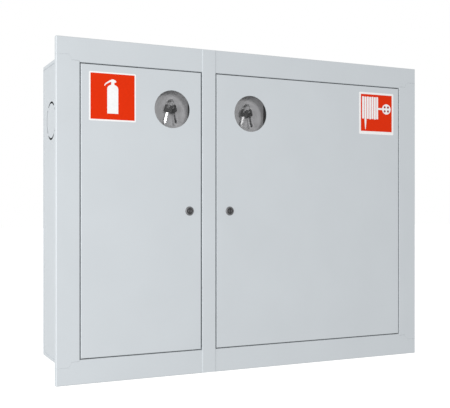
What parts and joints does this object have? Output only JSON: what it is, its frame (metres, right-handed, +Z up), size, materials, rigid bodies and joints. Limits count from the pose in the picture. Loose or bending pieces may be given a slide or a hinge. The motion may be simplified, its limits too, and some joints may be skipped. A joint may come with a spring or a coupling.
{
  "type": "standpipe cabinet",
  "caption": "Recessed steel fire cabinet: a narrow extinguisher door and a wide hose door, key windows, cam locks and a swinging hose cassette.",
  "frame": {"origin": "centre of the back panel's outer face, which lies against the back of the wall recess", "axes": "+X to the right seen from the front, +Y into the wall (the outward normal of the back), +Z up"},
  "size_m": [0.89, 0.2324, 0.7],
  "materials": {
    "body_paint": "light grey powder coat, fine orange peel, satin",
    "frame_paint": "light grey powder coat, fine orange peel, satin",
    "door_paint": "light grey powder coat, fine orange peel, satin",
    "pocket_paint": "grey powder coat, matt",
    "cassette_paint": "light grey powder coat, satin",
    "zinc_steel": "bright zinc plate",
    "hinge_steel": "blackened steel, lightly oiled",
    "ring_wire": "dull grey steel wire",
    "lock_chrome": "satin nickel on zinc die-casting",
    "key_steel": "bright nickel plate",
    "key_plastic": "black moulded plastic, fine grain",
    "sign_vinyl": "self-adhesive vinyl, red and white",
    "clear_pane": "clear acrylic"
  },
  "bodies": {
    "cabinet": {"back_panel": "body_paint", "left_side_panel": "body_paint", "right_side_panel": "body_paint", "top_panel": "body_paint", "bottom_panel": "body_paint", "partition": "body_paint", "left_knockout": "body_paint", "right_knockout": "body_paint", "frame_top_rail": "frame_paint", "frame_bottom_rail": "frame_paint", "frame_left_stile": "frame_paint", "frame_right_stile": "frame_paint", "frame_post": "frame_paint", "cassette_brackets": "zinc_steel", "cassette_bracket_rivets": "zinc_steel"},
    "left_door": {"left_door_panel": "door_paint", "left_hinge_pins": "hinge_steel", "left_sign": "sign_vinyl", "left_window_pane": "clear_pane", "left_key_pocket": "pocket_paint", "left_key_peg": "pocket_paint", "left_lock_barrel": "lock_chrome", "left_lock_nut": "zinc_steel"},
    "right_door": {"right_door_panel": "door_paint", "right_hinge_pins": "hinge_steel", "right_sign": "sign_vinyl", "right_window_pane": "clear_pane", "right_key_pocket": "pocket_paint", "right_key_peg": "pocket_paint", "right_lock_barrel": "lock_chrome", "right_lock_nut": "zinc_steel"},
    "left_lock": {"left_lock_plug": "lock_chrome", "left_lock_cam": "zinc_steel", "left_cam_screw": "zinc_steel"},
    "right_lock": {"right_lock_plug": "lock_chrome", "right_lock_cam": "zinc_steel", "right_cam_screw": "zinc_steel"},
    "left_keys": {"left_key_ring": "ring_wire", "left_front_key_bow": "key_plastic", "left_front_key_blade": "key_steel", "left_rear_key_bow": "key_plastic", "left_rear_key_blade": "key_steel"},
    "right_keys": {"right_key_ring": "ring_wire", "right_front_key_bow": "key_plastic", "right_front_key_blade": "key_steel", "right_rear_key_bow": "key_plastic", "right_rear_key_blade": "key_steel"},
    "hose_cassette": {"cassette_rod": "zinc_steel", "cassette_arms": "zinc_steel", "cassette_back_plate": "cassette_paint", "cassette_cradle": "cassette_paint", "cassette_rivets": "zinc_steel", "cassette_collars": "zinc_steel"}
  },
  "joints": [
    {"name": "left_door_hinge", "type": "hinge", "parent": "cabinet", "child": "left_door", "pos_m": [-0.3847, -0.224, 0], "axis": [0, 0, -1], "range_deg": [0, 120]},
    {"name": "right_door_hinge", "type": "hinge", "parent": "cabinet", "child": "right_door", "pos_m": [0.3847, -0.224, 0], "axis": [0, 0, 1], "range_deg": [0, 120]},
    {"name": "left_lock_turn", "type": "hinge", "parent": "left_door", "child": "left_lock", "pos_m": [-0.1575, -0.23, 0], "axis": [0, -1, 0], "range_deg": [0, 90]},
    {"name": "right_lock_turn", "type": "hinge", "parent": "right_door", "child": "right_lock", "pos_m": [-0.062, -0.23, 0], "axis": [0, 1, 0], "range_deg": [0, 90]},
    {"name": "left_keys_swing", "type": "hinge", "parent": "left_door", "child": "left_keys", "pos_m": [-0.1935, -0.212, 0.2363], "axis": [0, 1, 0], "range_deg": [-25, 25]},
    {"name": "right_keys_swing", "type": "hinge", "parent": "right_door", "child": "right_keys", "pos_m": [-0.0115, -0.212, 0.2363], "axis": [0, 1, 0], "range_deg": [-25, 25]},
    {"name": "cassette_swing", "type": "hinge", "parent": "cabinet", "child": "hose_cassette", "pos_m": [0.375, -0.178, 0], "axis": [0, 0, 1], "range_deg": [0, 84]}
  ],
  "couplings": [
    {"joint": "cassette_swing", "follows": "right_door_hinge", "ratio": 0.7}
  ]
}
